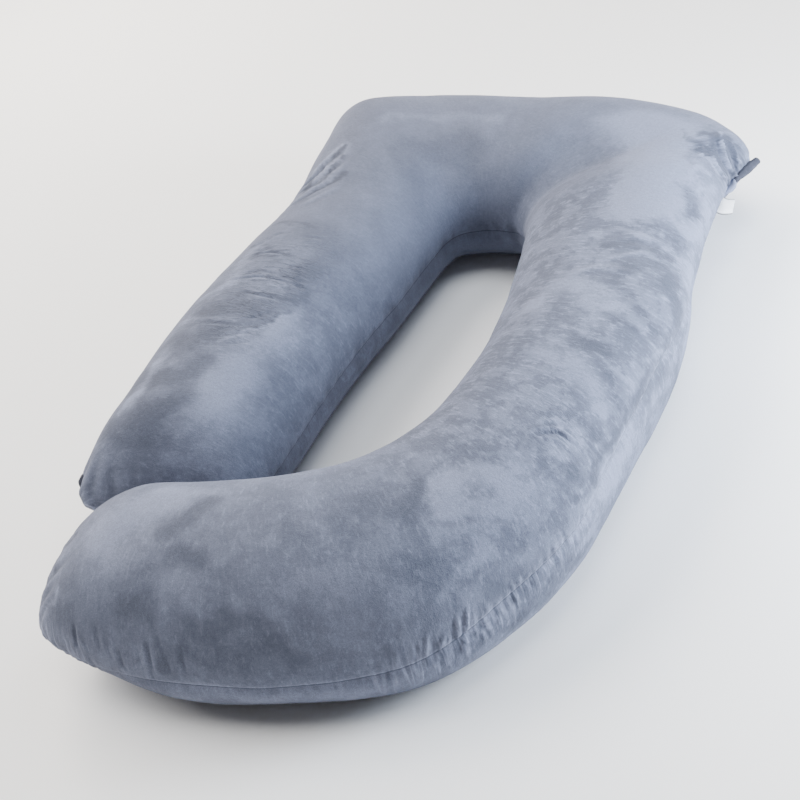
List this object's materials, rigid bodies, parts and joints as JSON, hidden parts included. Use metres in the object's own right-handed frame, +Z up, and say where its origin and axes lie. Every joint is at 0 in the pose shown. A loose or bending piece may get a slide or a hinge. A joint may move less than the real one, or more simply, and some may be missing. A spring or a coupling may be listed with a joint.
{
  "type": "pregnancy pillow",
  "caption": "J-shaped body pillow: a straight arm, a square-cornered top bar and a long arm that curves round into a hook in front of the straight arm's end.",
  "frame": {"origin": "on the surface the pillow lies on, under the middle of its box", "axes": "+Z up, out of the lying surface; +Y towards the top bar; +X towards the long arm that curves into the hook"},
  "size_m": [0.8075, 1.3061, 0.2408],
  "materials": {
    "velvet": "short-pile velvet, matte with a soft sheen",
    "tape": "woven satin tape"
  },
  "bodies": {
    "root": {"pillow": "velvet", "care_label": "tape"}
  },
  "joints": []
}
